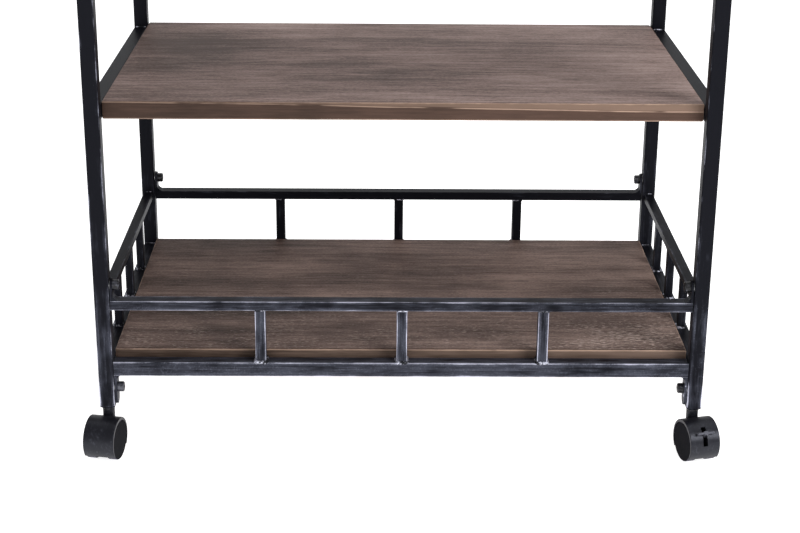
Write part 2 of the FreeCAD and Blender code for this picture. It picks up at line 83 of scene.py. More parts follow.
# ------------------------------------------------------------------ shader expressions
class Value:
    """A number that changes over a surface: one socket, with arithmetic that adds Math nodes."""

    def __init__(self, tree: Tree, socket: bpy.types.NodeSocket) -> None:
        """Wrap a socket.

        Args:
            tree: the tree that holds the socket's node.
            socket: an output socket that carries a number.
        """
        self.tree = tree
        self.socket = socket

    def _math(self, operation: str, *terms: Value | float) -> Value:
        """One Math node.

        Args:
            operation: the Math node's operation.
            terms: its inputs, in order.

        Returns:
            The node's result.
        """
        inputs = dict(enumerate(terms))
        made = self.tree.node("ShaderNodeMath", {"operation": operation}, inputs)
        return Value(self.tree, made.outputs[0])

    def __add__(self, other: Value | float) -> Value:
        """Sum."""
        return self._math("ADD", self, other)

    __radd__ = __add__

    def __sub__(self, other: Value | float) -> Value:
        """Difference."""
        return self._math("SUBTRACT", self, other)

    def __rsub__(self, other: Value | float) -> Value:
        """Difference from a number."""
        return self._math("SUBTRACT", other, self)

    def __mul__(self, other: Value | float) -> Value:
        """Product."""
        return self._math("MULTIPLY", self, other)

    __rmul__ = __mul__

    def __truediv__(self, other: Value | float) -> Value:
        """Quotient."""
        return self._math("DIVIDE", self, other)

    def __rtruediv__(self, other: Value | float) -> Value:
        """Quotient of a number."""
        return self._math("DIVIDE", other, self)

    def __pow__(self, other: Value | float) -> Value:
        """Power."""
        return self._math("POWER", self, other)

    def __rpow__(self, other: Value | float) -> Value:
        """Power of a number."""
        return self._math("POWER", other, self)

    def __abs__(self) -> Value:
        """Size without its sign."""
        return self._math("ABSOLUTE", self)

    def least(self, other: Value | float) -> Value:
        """Smaller of two numbers."""
        return self._math("MINIMUM", self, other)

    def most(self, other: Value | float) -> Value:
        """Larger of two numbers."""
        return self._math("MAXIMUM", self, other)

    def smooth(self, low: float, high: float) -> Value:
        """Smooth step from 0 at low to 1 at high, or falling where low is the larger.

        Args:
            low: the number that gives 0.
            high: the number that gives 1.

        Returns:
            The step, between 0 and 1.
        """
        rising = high > low
        bounds = (low, high, 0.0, 1.0) if rising else (high, low, 1.0, 0.0)
        names = ("From Min", "From Max", "To Min", "To Max")
        inputs = {"Value": self, **dict(zip(names, bounds, strict=True))}
        made = self.tree.node("ShaderNodeMapRange", {"interpolation_type": "SMOOTHSTEP"}, inputs)
        return Value(self.tree, made.outputs["Result"])


class Tree:
    """Node tree of one material, with short words for the nodes that the finishes use."""

    def __init__(self, name: str) -> None:
        """Start an empty material.

        Args:
            name: the material's name.
        """
        self.material = bpy.data.materials.new(name)
        self.material.use_nodes = True
        self.nodes = self.material.node_tree.nodes
        self.links = self.material.node_tree.links
        self.nodes.clear()
        self.place = self.node("ShaderNodeTexCoord", {}, {}).outputs["Object"]
        split = self.node("ShaderNodeSeparateXYZ", {}, {0: self.place})
        self.x, self.y, self.z = (Value(self, out) for out in split.outputs)

    def node(self, kind: str, settings: dict, inputs: dict) -> bpy.types.Node:
        """Add one node.

        Args:
            kind: the node's type.
            settings: attributes to set first; a ramp's "stops" are (position, colour) pairs.
            inputs: values or links, by socket name or number.

        Returns:
            The node.
        """
        made = self.nodes.new(kind)
        for key, value in settings.items():
            if key == "stops":
                self._set_stops(made.color_ramp, value)
            else:
                setattr(made, key, value)
        for key, value in inputs.items():
            if isinstance(value, Value):
                self.links.new(value.socket, made.inputs[key])
            elif isinstance(value, bpy.types.NodeSocket):
                self.links.new(value, made.inputs[key])
            else:
                made.inputs[key].default_value = value
        return made

    @staticmethod
    def _set_stops(ramp: bpy.types.ColorRamp, stops: Iterable[tuple[float, Colour]]) -> None:
        """Set a ramp's stops.

        Args:
            ramp: the ramp to change.
            stops: (position, colour) pairs in rising order.
        """
        for index, (position, colour) in enumerate(stops):
            stop = ramp.elements[index] if index < 2 else ramp.elements.new(position)
            stop.position = position
            stop.color = (*colour, 1.0)

    def grain(
        self, scale: float | Triple, detail: float = 3.0, roughness: float = 0.55,
        shift: Triple = (0.0, 0.0, 0.0), place: bpy.types.NodeSocket | None = None,
    ) -> Value:
        """Noise, even or stretched along the axes.

        Args:
            scale: cycles per metre, or one number for each of X, Y and Z.
            detail: the noise's detail.
            roughness: the noise's roughness.
            shift: offset in noise space, which tells one use from another.
            place: the position to read; the object's own when None.

        Returns:
            The noise, about 0 to 1 with its middle at 0.5.
        """
        source = self.place if place is None else place
        scales = (scale,) * 3 if isinstance(scale, float) else scale
        moved = self.node(
            "ShaderNodeVectorMath", {"operation": "MULTIPLY_ADD"}, {0: source, 1: scales, 2: shift}
        )
        made = self.node(
            "ShaderNodeTexNoise", {},
            {"Vector": moved.outputs[0], "Scale": 1.0, "Detail": detail, "Roughness": roughness},
        )
        return Value(self, made.outputs[0])

    def bent(self, amount: Value, axis: Axis) -> bpy.types.NodeSocket:
        """The object's position, moved along one axis.

        Args:
            amount: how far, in metres.
            axis: the axis to move along.

        Returns:
            The moved position.
        """
        parts = [self.x, self.y, self.z]
        parts[axis.value] = parts[axis.value] + amount
        return self.node("ShaderNodeCombineXYZ", {}, dict(enumerate(parts))).outputs[0]

    def ramp(self, value: Value, stops: Iterable[tuple[float, Colour]]) -> bpy.types.NodeSocket:
        """Colour ramp of a number.

        Args:
            value: the number to read.
            stops: (position, colour) pairs in rising order.

        Returns:
            The colour.
        """
        return self.node("ShaderNodeValToRGB", {"stops": stops}, {0: value}).outputs[0]

    def mix(
        self, amount: Value, first: bpy.types.NodeSocket | Colour, second: bpy.types.NodeSocket | Colour
    ) -> bpy.types.NodeSocket:
        """Mix of two colours.

        Args:
            amount: 0 for the first colour, 1 for the second.
            first: a colour or a link.
            second: a colour or a link.

        Returns:
            The mixed colour.
        """
        pair = [(*colour, 1.0) if isinstance(colour, tuple) else colour for colour in (first, second)]
        made = self.node("ShaderNodeMix", {"data_type": "RGBA"}, {0: amount, 6: pair[0], 7: pair[1]})
        return made.outputs[2]

    def surface(
        self, colour: bpy.types.NodeSocket, roughness: Value | float, metallic: Value | float = 0.0,
        height: Value | None = None, depth: float = 0.0, fixed: dict | None = None,
    ) -> bpy.types.Material:
        """Finish the material with one Principled shader.

        Args:
            colour: the base colour.
            roughness: the roughness.
            metallic: the metallic share.
            height: the relief, from 0 to 1.
            depth: how deep the relief is, in metres.
            fixed: sockets that hold one value all over.

        Returns:
            The finished material.
        """
        inputs = {"Base Color": colour, "Roughness": roughness, "Metallic": metallic, **(fixed or {})}
        if height is not None:
            relief = self.node(
                "ShaderNodeBump", {}, {"Strength": 1.0, "Distance": depth, "Height": height}
            )
            inputs["Normal"] = relief.outputs[0]
        shader = self.node("ShaderNodeBsdfPrincipled", {}, inputs)
        self.node("ShaderNodeOutputMaterial", {}, {"Surface": shader.outputs[0]})
        return self.material


# ------------------------------------------------------------------ places measured on the CAD nodes
def middle_of(node: str) -> Vector:
    """Middle of a CAD node's box."""
    low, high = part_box(node)
    return (low + high) / 2


def caster_axle(corner: str) -> tuple[Vector, Vector]:
    """Where a caster's axle is and which way it trails.

    Args:
        corner: the caster's corner.

    Returns:
        Middle of the axle, and the level direction from the stem to it.
    """
    axle = middle_of(corner + "_caster_axle")
    back = axle - middle_of(corner + "_caster_stem")
    back.z = 0.0
    return axle, back.normalized()


# ------------------------------------------------------------------ finishes
@dataclass(frozen=True)
class Band:
    """Places along one axis where bars of one width stand.

    Attributes:
        axis: the axis.
        middles: middle of each bar.
        half: half the width of a bar.
    """

    axis: Axis
    middles: tuple[float, ...]
    half: float

    def offset(self, tree: Tree) -> Value:
        """Distance from the nearest bar's middle, as a share of its half width.

        Args:
            tree: the tree to work in.

        Returns:
            0 on a middle and 1 on a face.
        """
        along = (tree.x, tree.y, tree.z)[self.axis.value]
        nearest = abs(along - self.middles[0])
        for middle in self.middles[1:]:
            nearest = nearest.least(abs(along - middle))
        return nearest / self.half


@dataclass(frozen=True)
class BarFamily:
    """Bars of one section that lie along one axis.

    Attributes:
        name: what the bars are.
        along: the axis that they run along.
        bands: where they stand on the two other axes.
    """

    name: str
    along: Axis
    bands: tuple[Band, Band]

    def arris(self, tree: Tree) -> Value:
        """How near a point is to one of its bar's long edges.

        Args:
            tree: the tree to work in.

        Returns:
            1 on an edge, falling towards the middle of each face.
        """
        return self.bands[0].offset(tree).least(self.bands[1].offset(tree))


@dataclass(frozen=True)
class BurnishedSteel:
    """Dark lacquer over brushed steel, rubbed through along the edges and clouded on the faces, with a
    painted highlight along the edges.

    Attributes:
        lacquer: the whole lacquer.
        haze: thin, clouded lacquer.
        rubbed: lacquer rubbed nearly through.
        bright: bare steel on the edges, which also serves as a painted highlight along them.
        wear: how far the wear reaches, from 0 to 1.
        rubbed_from: height under which it is rubbed more.
        rubbed_to: height at which that is full.
        foot_from: height at which the posts' worn feet start.
        foot_to: height at which they are full.
    """

    lacquer: Colour = (0.0048, 0.0048, 0.0070)
    haze: Colour = (0.050, 0.053, 0.070)
    rubbed: Colour = (0.120, 0.126, 0.162)
    bright: Colour = (0.56, 0.57, 0.69)
    wear: float = 0.5
    rubbed_from: float = 0.42
    rubbed_to: float = 0.12
    foot_from: float = 0.112
    foot_to: float = 0.080

    def material(self, family: BarFamily) -> bpy.types.Material:
        """Material of one family of bars.

        Args:
            family: the bars, which give the edges and the brushing's direction.

        Returns:
            The material.
        """
        tree = Tree("burnished_" + family.name)
        return self._finish(tree, family.arris(tree), family.along)

    def plain(self, name: str) -> bpy.types.Material:
        """Material of small plates, worn in patches and not along their edges.

        Args:
            name: what the plates are.

        Returns:
            The material.
        """
        tree = Tree("burnished_" + name)
        return self._finish(tree, tree.grain(90.0, 3.0, 0.6, (2.0, 2.0, 6.0)) * 1.25, Axis.Z)

    def _finish(self, tree: Tree, arris: Value, along: Axis) -> bpy.types.Material:
        """Finish the material from its edges.

        Args:
            tree: the tree to work in.
            arris: how near each point is to an edge.
            along: the brushing's direction.

        Returns:
            The material.
        """
        brushed = self._stretched(tree, along, 560.0, 9.0, 5.0, (0.0, 0.0, 0.0))
        smear = self._stretched(tree, along, 190.0, 30.0, 4.0, (3.1, 7.7, 1.3))
        cloud = tree.grain(24.0, 3.0, 0.55, (9.0, 2.0, 5.0))
        speckle = tree.grain(560.0, 3.0, 0.65, (1.0, 4.0, 8.0))
        # near also lightens the haze towards the edges: a painted soft highlight beside them.
        near = arris.smooth(0.30, 1.0)
        low = tree.z.smooth(self.rubbed_from, self.rubbed_to)
        use = near * 0.08 + low * 0.15 + (self.wear - 0.5) * 0.25
        hazy = (brushed * 0.28 + smear * 0.42 + cloud * 0.34 + use).smooth(0.58, 0.84)
        foot = tree.z.smooth(self.foot_from, self.foot_to)
        handled = (self.wear - 0.6) * 0.22 + foot * 0.10
        worn = (arris + (smear - 0.5) * 0.40 + (cloud - 0.5) * 0.5 + handled).smooth(0.84, 1.04)
        # glint: painted highlight along the edges, partly bare steel where the lacquer is rubbed through.
        glint = arris + (speckle - 0.5) * 0.10 + (smear - 0.5) * 0.20 + (cloud - 0.5) * 0.35 + handled
        grit = (brushed * 0.30 + smear * 0.30 + speckle * 0.50 + use * 0.5).smooth(0.66, 0.86)
        colour = tree.mix(hazy * (0.35 + brushed * 1.1), self.lacquer, self.haze)
        colour = tree.mix((worn * 0.6).most(grit * 0.7), colour, self.rubbed)
        colour = tree.mix(glint.smooth(0.86, 1.02) * (0.42 + brushed).least(1.0), colour, self.bright)
        roughness = 0.46 - hazy * 0.04 - worn * 0.08 + (speckle - 0.5) * 0.14
        metallic = 0.05 + hazy * 0.15 + worn * 0.35
        height = brushed * 0.5 + speckle * 0.35 + cloud * 0.6
        fixed = {"Specular IOR Level": 0.08, "Specular Tint": (0.80, 0.85, 1.0, 1.0)}
        return tree.surface(colour, roughness, metallic, height, 0.16 * MM, fixed)

    @staticmethod
    def _stretched(
        tree: Tree, along: Axis, across_scale: float, along_scale: float, detail: float, shift: Triple
    ) -> Value:
        """Noise drawn out along one axis.

        Args:
            tree: the tree to work in.
            along: the axis.
            across_scale: cycles per metre on the other axes.
            along_scale: cycles per metre along the axis.
            detail: the noise's detail.
            shift: offset in noise space.

        Returns:
            The noise.
        """
        scale = [across_scale] * 3
        scale[along.value] = along_scale
        return tree.grain(tuple(scale), detail, 0.62, shift)


@dataclass(frozen=True)
class WeldMetal:
    """Weld metal under the same lacquer, brighter where its ripples are rubbed, which also serves as a
    painted highlight on the beads.

    Attributes:
        dark: colour in the hollows.
        bright: colour on the rubbed ripples, partly a painted highlight.
    """

    dark: Colour = (0.012, 0.013, 0.016)
    bright: Colour = (0.60, 0.61, 0.72)

    def material(self) -> bpy.types.Material:
        """Material of the weld beads.

        Returns:
            The material.
        """
        tree = Tree("weld_metal")
        lumps = tree.grain(330.0, 3.0, 0.6)
        patches = tree.grain(90.0, 2.0, 0.5, (4.0, 1.0, 2.0))
        # rubbed: the bright patches, partly rubbed ripples and partly a painted highlight.
        rubbed = (lumps * 0.5 + patches * 0.6).smooth(0.50, 0.66)
        colour = tree.mix(rubbed, self.dark, self.bright)
        fixed = {"Specular IOR Level": 0.15}
        return tree.surface(colour, 0.50 - rubbed * 0.14, 0.3 + rubbed * 0.5, lumps, 0.20 * MM, fixed)


@dataclass(frozen=True)
class PlainSteel:
    """Small steel parts: a base colour clouded by light wear.

    Attributes:
        name: what the parts are.
        dark: colour where the finish is whole.
        light: colour where it is rubbed.
        metallic: metallic share.
        roughness: roughness where the finish is whole.
    """

    name: str
    dark: Colour
    light: Colour
    metallic: float
    roughness: float

    def material(self) -> bpy.types.Material:
        """Material of these parts.

        Returns:
            The material.
        """
        tree = Tree(self.name)
        wear = tree.grain(240.0, 4.0, 0.6)
        grime = tree.grain(60.0, 3.0, 0.55, (2.0, 6.0, 4.0))
        rubbed = (wear * 0.6 + grime * 0.5).smooth(0.48, 0.72)
        colour = tree.mix(rubbed, self.dark, self.light)
        return tree.surface(
            colour, self.roughness - rubbed * 0.1 + (grime - 0.5) * 0.1, self.metallic, wear, 0.05 * MM
        )


@dataclass(frozen=True)
class MouldedNylon:
    """Black moulded nylon with a fine spark-eroded texture and faint scuffs.

    Attributes:
        name: what the parts are.
        black: colour of the clean surface.
        scuffed: colour of the scuffs.
        roughness: roughness of the clean surface.
        gloss: strength of its reflections.
        dust_and_highlight: colour of a tread, partly dust that the floor leaves and partly a painted
            highlight.
    """

    name: str
    black: Colour
    scuffed: Colour
    roughness: float
    gloss: float
    dust_and_highlight: Colour = (0.105, 0.102, 0.130)

    def material(self, rolled: Value | None = None, tree: Tree | None = None) -> bpy.types.Material:
        """Material of these parts.

        Args:
            rolled: where a wheel's tread is paled, partly by floor dust and partly as a painted highlight,
                from 0 to 1, or None.
            tree: the tree that rolled belongs to, or None for a new one.

        Returns:
            The material.
        """
        tree = tree or Tree(self.name)
        texture = tree.grain(1300.0, 2.0, 0.5)
        cloud = tree.grain(75.0, 4.0, 0.6, (5.0, 5.0, 1.0))
        scratch = tree.grain((520.0, 110.0, 300.0), 3.0, 0.6, (8.0, 3.0, 2.0))
        marks = (scratch * 0.7 + cloud * 0.4).smooth(0.54, 0.84)
        colour = tree.mix(marks, self.black, self.scuffed)
        if rolled is not None:
            # The tread is paled partly by floor dust and partly as a painted highlight on the wheel's feet.
            dust_and_highlight_share = (rolled + (scratch - 0.5) * 1.1 + (cloud - 0.5) * 1.2).smooth(0.55, 1.05)
            colour = tree.mix(dust_and_highlight_share * 0.8, colour, self.dust_and_highlight)
        fixed = {"Specular IOR Level": self.gloss, "Specular Tint": (0.84, 0.87, 1.0, 1.0)}
        return tree.surface(
            colour, self.roughness + (cloud - 0.5) * 0.14 + marks * 0.06, 0.0,
            texture * 0.6 + cloud * 0.4, 0.06 * MM, fixed,
        )


@dataclass(frozen=True)
class WheelNylon:
    """Nylon of one caster's wheels, dull on the faces and pale on the treads, partly scuffs and partly a
    painted highlight.

    Attributes:
        corner: the caster's corner.
        tread_start: distance from the axle at which the pale tread starts.
        tread_end: distance from the axle at which it is full.
    """

    corner: str
    tread_start: float = 23.4 * MM
    tread_end: float = 25.0 * MM

    def material(self) -> bpy.types.Material:
        """Material of the wheels.

        Returns:
            The material.
        """
        tree = Tree(self.corner + "_wheels")
        axle, back = caster_axle(self.corner)
        trail = (tree.x - axle.x) * back.x + (tree.y - axle.y) * back.y
        rise = tree.z - axle.z
        reach = (trail * trail + rise * rise) ** 0.5
        rolled = reach.smooth(self.tread_start, self.tread_end)
        nylon = MouldedNylon(
            self.corner + "_wheels", black=(0.0045, 0.0045, 0.0065), scuffed=(0.010, 0.010, 0.013),
            roughness=0.60, gloss=0.02,
        )
        return nylon.material(rolled, tree)


@dataclass(frozen=True)
class StainedWood:
    """Weathered stain on a wooden board: fibre, growth rings, pores, pale worn edges, and painted light that
    lightens it towards the right end.

    Attributes:
        name: which board.
        low: lowest corner of the board.
        high: highest corner of the board.
        dark: stain in the dark grain.
        middle: stain over most of the face.
        light: stain in the pale grain.
        edge_dark: darkest colour of the front and end faces.
        edge_light: palest colour of the front and end faces.
        tan: bare wood on worn edges.
        fleck: the palest flecks.
        edge_wear: how far the arrises are worn at the left end, from 0 to 1.
        flecks: how strongly pale flecks show, from 0 to 1.
        shift: offset in noise space that tells one board from another.
        line_drop: how far the pale line on the front face runs below the top at its right end.
        groove_inset: distance from the front edge to a dark groove in the top.
        fleck_depth: how far back from the front edge the flecks thicken.
    """

    name: str
    low: Vector
    high: Vector
    dark: Colour = (0.088, 0.058, 0.049)
    middle: Colour = (0.256, 0.182, 0.163)
    light: Colour = (0.450, 0.344, 0.316)
    edge_dark: Colour = (0.034, 0.018, 0.012)
    edge_light: Colour = (0.084, 0.047, 0.034)
    tan: Colour = (0.450, 0.310, 0.232)
    fleck: Colour = (0.620, 0.500, 0.440)
    edge_wear: float = 0.12
    flecks: float = 0.0
    shift: float = 0.0
    line_drop: float = 9.0 * MM
    groove_inset: float = 2.6 * MM
    fleck_depth: float = 260.0 * MM

    def material(self) -> bpy.types.Material:
        """Material of the board.

        Returns:
            The material.
        """
        tree = Tree("stained_" + self.name)
        shift = self.shift
        sway = tree.grain((1.6, 3.5, 3.5), 2.0, 0.5, (shift, 0.0, 0.0))
        place = tree.bent((sway - 0.5) * 0.050, Axis.Y)
        bands = tree.grain((1.6, 22.0, 22.0), 2.5, 0.55, (shift, 3.0, 1.0), place)
        rings = tree.grain((7.0, 150.0, 150.0), 4.0, 0.65, (shift, 5.0, 2.0), place)
        fibre = tree.grain((34.0, 620.0, 620.0), 5.0, 0.70, (shift, 1.0, 4.0), place)
        nap = tree.grain((260.0, 620.0, 620.0), 3.0, 0.65, (shift, 3.0, 8.0))
        pores = tree.grain((110.0, 1100.0, 1100.0), 2.0, 0.5, (shift, 2.0, 7.0), place)
        cloud = tree.grain((4.5, 7.0, 7.0), 3.0, 0.55, (shift, 8.0, 3.0))
        stain = tree.grain((6.0, 16.0, 16.0), 4.0, 0.65, (shift, 1.0, 9.0))
        streaks = tree.grain((5.0, 230.0, 230.0), 3.0, 0.6, (shift, 6.0, 9.0), place)
        # across lightens the top slightly towards the right end: painted light from the right.
        across = tree.x.smooth(self.low.x, self.high.x) - 0.5
        tone = bands * 0.18 + rings * 0.24 + fibre * 0.34 + cloud * 0.30 + nap * 0.24 + across * 0.05
        top = tree.ramp(tone, [(0.56, self.dark), (0.65, self.middle), (0.76, self.light)])
        top = tree.mix(streaks.smooth(0.60, 0.74) * 0.45, top, self.dark)
        top = tree.mix((stain - across * 0.05).smooth(0.55, 0.74) * 0.55, top, self.dark)
        top = tree.mix(pores.smooth(0.56, 0.72) * 0.50, top, self.dark)
        if self.flecks:
            top = self._flecked(tree, top)
        inward = (tree.y - self.low.y) + (sway - 0.5) * 2.0 * MM
        groove = abs(inward - self.groove_inset).smooth(1.6 * MM, 0.4 * MM) * stain.smooth(0.30, 0.50)
        top = tree.mix(groove * 0.85, top, self.dark)
        side, colour = self._edges(tree, top)
        height = fibre * 0.5 + rings * 0.3 + nap * 0.2 - pores.smooth(0.58, 0.72) * 0.35
        roughness = 0.68 - fibre * 0.10 + (cloud - 0.5) * 0.12 + side * 0.04
        return tree.surface(colour, roughness, 0.0, height, 0.22 * MM, {"Specular IOR Level": 0.22})

    def _flecked(self, tree: Tree, top: bpy.types.NodeSocket) -> bpy.types.NodeSocket:
        """Add pale flecks, thickest at the front right.

        Args:
            tree: the tree to work in.
            top: the colour of the broad faces.

        Returns:
            The colour with flecks.
        """
        front = tree.y.smooth(self.low.y + self.fleck_depth, self.low.y + 20.0 * MM)
        right = tree.x.smooth(0.0, self.high.x) * front
        dots = tree.grain((130.0, 560.0, 560.0), 3.0, 0.6, (self.shift, 4.0, 4.0))
        chance = tree.grain((14.0, 26.0, 26.0), 2.0, 0.5, (self.shift, 7.0, 1.0))
        shown = (dots * 0.85 + chance * 0.30 + front * 0.05 + right * 0.04).smooth(0.68, 0.80)
        return tree.mix(shown * (0.35 + front * 0.6 + right * 0.5) * self.flecks, top, self.fleck)

    def _edges(self, tree: Tree, top: bpy.types.NodeSocket) -> tuple[Value, bpy.types.NodeSocket]:
        """Add the darker edge faces, their pale line and the worn arrises, all lightened towards the right
        end by painted light from the right.

        Args:
            tree: the tree to work in.
            top: the colour of the broad faces.

        Returns:
            Where the edge faces are, and the whole colour.
        """
        shift = self.shift
        centre = (self.low + self.high) / 2
        half = (self.high - self.low) / 2
        out_x = abs(tree.x - centre.x) - half.x
        out_y = abs(tree.y - centre.y) - half.y
        out_z = abs(tree.z - centre.z) - half.z
        rim = (-1.0 * MM, -0.35 * MM)
        side = out_x.most(out_y).smooth(*rim)
        end = out_x.smooth(*rim)
        layer = tree.grain((16.0, 16.0, 420.0), 4.0, 0.6, (shift, 2.0, 5.0))
        patch = tree.grain((14.0, 14.0, 60.0), 3.0, 0.55, (shift, 9.0, 5.0))
        # lighter: painted light from the right, which lifts the edge faces, their pale line and the worn
        # arrises towards the right end.
        lighter = tree.x.smooth(self.low.x, self.high.x)
        edge_tone = layer * 0.5 + patch * 0.55 + lighter * 0.30
        edge = tree.ramp(edge_tone, [(0.45, self.edge_dark), (0.92, self.edge_light)])
        waver = tree.grain((7.0, 7.0, 0.0), 3.0, 0.5, (shift, 3.0, 3.0))
        drop = 0.9 * MM + lighter * self.line_drop + (waver - 0.5) * 3.2 * MM
        below = (self.high.z - tree.z) - drop
        line = abs(below).smooth(1.1 * MM, 0.2 * MM) * patch.smooth(0.34, 0.56) * (0.40 + lighter * 0.60)
        above = below.smooth(0.0, -2.0 * MM) * (0.10 + lighter * 0.20)
        edge = tree.mix((line * 0.85).most(above * (1.0 - end)), edge, self.tan)
        foot = tree.z.smooth(self.low.z + 2.4 * MM, self.low.z + 0.4 * MM)
        edge = tree.mix(foot * patch * 0.9, edge, self.tan)
        colour = tree.mix(side, top, edge)
        corner = out_x.most(out_y).least(out_z).most(out_x.least(out_y))
        chips = tree.grain((60.0, 60.0, 220.0), 3.0, 0.6, (shift, 6.0, 6.0))
        right = self.edge_wear + lighter * (1.0 - self.edge_wear)
        worn = (corner + (chips - 0.5) * 2.4 * MM + (waver - 0.5) * 2.0 * MM).smooth(-1.7 * MM, -0.2 * MM)
        return side, tree.mix(worn * right, colour, self.tan)


# ------------------------------------------------------------------ mesh helpers
def finished_mesh(shape: bmesh.types.BMesh, name: str) -> bpy.types.Mesh:
    """Turn a shape into a mesh and free it.

    Args:
        shape: the shape, which isn't used again.
        name: the mesh's name.

    Returns:
        The mesh.
    """
    mesh = bpy.data.meshes.new(name)
    shape.to_mesh(mesh)
    shape.free()
    return mesh


def add_piece(
    name: str, mesh: bpy.types.Mesh, material: bpy.types.Material, body: str, slot: str, smooth: bool = True
) -> bpy.types.Object:
    """Make an object of a mesh and tie it to its body.

    Args:
        name: the piece's name.
        mesh: its mesh, in the frame's own place.
        material: its material.
        body: the body that it moves with.
        slot: not used.
        smooth: whether its faces are shaded smooth.

    Returns:
        The object.
    """
    piece = bpy.data.objects.new(name, mesh)
    bpy.context.scene.collection.objects.link(piece)
    mesh.materials.append(material)
    if smooth:
        mesh.polygons.foreach_set("use_smooth", [True] * len(mesh.polygons))
    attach(piece, body)
    LOG.info("%s: %d faces on %s", name, len(mesh.polygons), body)
    return piece


def dress(nodes: dict[str, bpy.types.Object], members: list[str], material: bpy.types.Material) -> None:
    """Give some CAD nodes one material.

    Args:
        nodes: all the CAD nodes.
        members: names of those to dress.
        material: their new material.
    """
    for member in members:
        nodes[member].data.materials.clear()
        nodes[member].data.materials.append(material)
        LOG.info("%s: finished in %s", member, material.name)


def spread(low: float, high: float, radius: float, pitch: float, arc_steps: int) -> list[float]:
    """Places of grid lines from low to high, closer together within a radius of both ends.

    Args:
        low: lower end.
        high: upper end.
        radius: rounding radius at the ends.
        pitch: spacing between the rounded ends.
        arc_steps: lines in each rounded end.

    Returns:
        The places in rising order.
    """
    insets = [radius * (1 - math.tan(math.radians(45 * step / arc_steps))) for step in range(arc_steps)]
    inner_low, inner_high = low + radius, high - radius
    count = max(1, round((inner_high - inner_low) / pitch))
    middle = [inner_low + (inner_high - inner_low) * step / count for step in range(count + 1)]
    return [
        low, *(low + inset for inset in reversed(insets)), *middle[1:-1],
        *(high - inset for inset in insets), high,
    ]


# ------------------------------------------------------------------ shelves
@dataclass
class Board:
    """One wooden shelf: a box with softened, slightly uneven arrises that stands for its CAD board.

    Attributes:
        node: the CAD node that it stands for.
        finish: its stain.
        arris: rounding of its edges.
        pitch: spacing of its grid.
        dent: how deep the uneven edges go.
        arc_steps: grid lines in each rounded edge.
    """

    node: str
    finish: StainedWood
    arris: float = 1.6 * MM
    pitch: float = 7.0 * MM
    dent: float = 0.5 * MM
    arc_steps: int = 3

    def build(self) -> bpy.types.Mesh:
        """Mesh of the board, in place.

        Returns:
            The mesh.
        """
        low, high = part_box(self.node)
        lines = [spread(low[k], high[k], self.arris, self.pitch, self.arc_steps) for k in range(3)]
        shape = bmesh.new()
        found: dict[tuple[int, int, int], bmesh.types.BMVert] = {}

        def corner(index: tuple[int, int, int]) -> bmesh.types.BMVert:
            """Vertex at a grid index, made once.

            Args:
                index: the line's number along X, Y and Z.

            Returns:
                The vertex.
            """
            if index not in found:
                place = Vector(lines[k][index[k]] for k in range(3))
                found[index] = shape.verts.new(self._softened(place, low, high))
            return found[index]

        last = [len(line) - 1 for line in lines]
        for across in range(3):
            first, second = (across + 1) % 3, (across + 2) % 3
            for side, i, j in product((0, last[across]), range(last[first]), range(last[second])):
                ring = []
                for step_i, step_j in ((0, 0), (1, 0), (1, 1), (0, 1)):
                    index = [0, 0, 0]
                    index[across], index[first], index[second] = side, i + step_i, j + step_j
                    ring.append(corner(tuple(index)))
                shape.faces.new(ring if side else ring[::-1])
        return finished_mesh(shape, self.node + "_board")

    def _softened(self, place: Vector, low: Vector, high: Vector) -> Vector:
        """Point of the sharp box moved onto the rounded and slightly dented one.

        Args:
            place: a point on the sharp box.
            low: the box's lowest corner.
            high: the box's highest corner.

        Returns:
            The softened point.
        """
        radius = self.arris
        core = Vector(min(max(place[k], low[k] + radius), high[k] - radius) for k in range(3))
        outward = place - core
        near_edges = sum(1 for part in outward if abs(part) > radius * 0.01)
        if near_edges < 2:
            return place
        nicks, waves = noise.noise(place * 70.0), noise.noise(place * 21.0)
        inset = self.dent * max(0.0, nicks * 0.6 + waves * 0.4)
        return core + outward.normalized() * (radius - inset)

    def dress(self) -> None:
        """Make the board, finish it and hide its CAD stand-in."""
        piece = add_piece(
            self.node + "_board", self.build(), self.finish.material(), "frame", self.node + "_wood"
        )
        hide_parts(self.node)


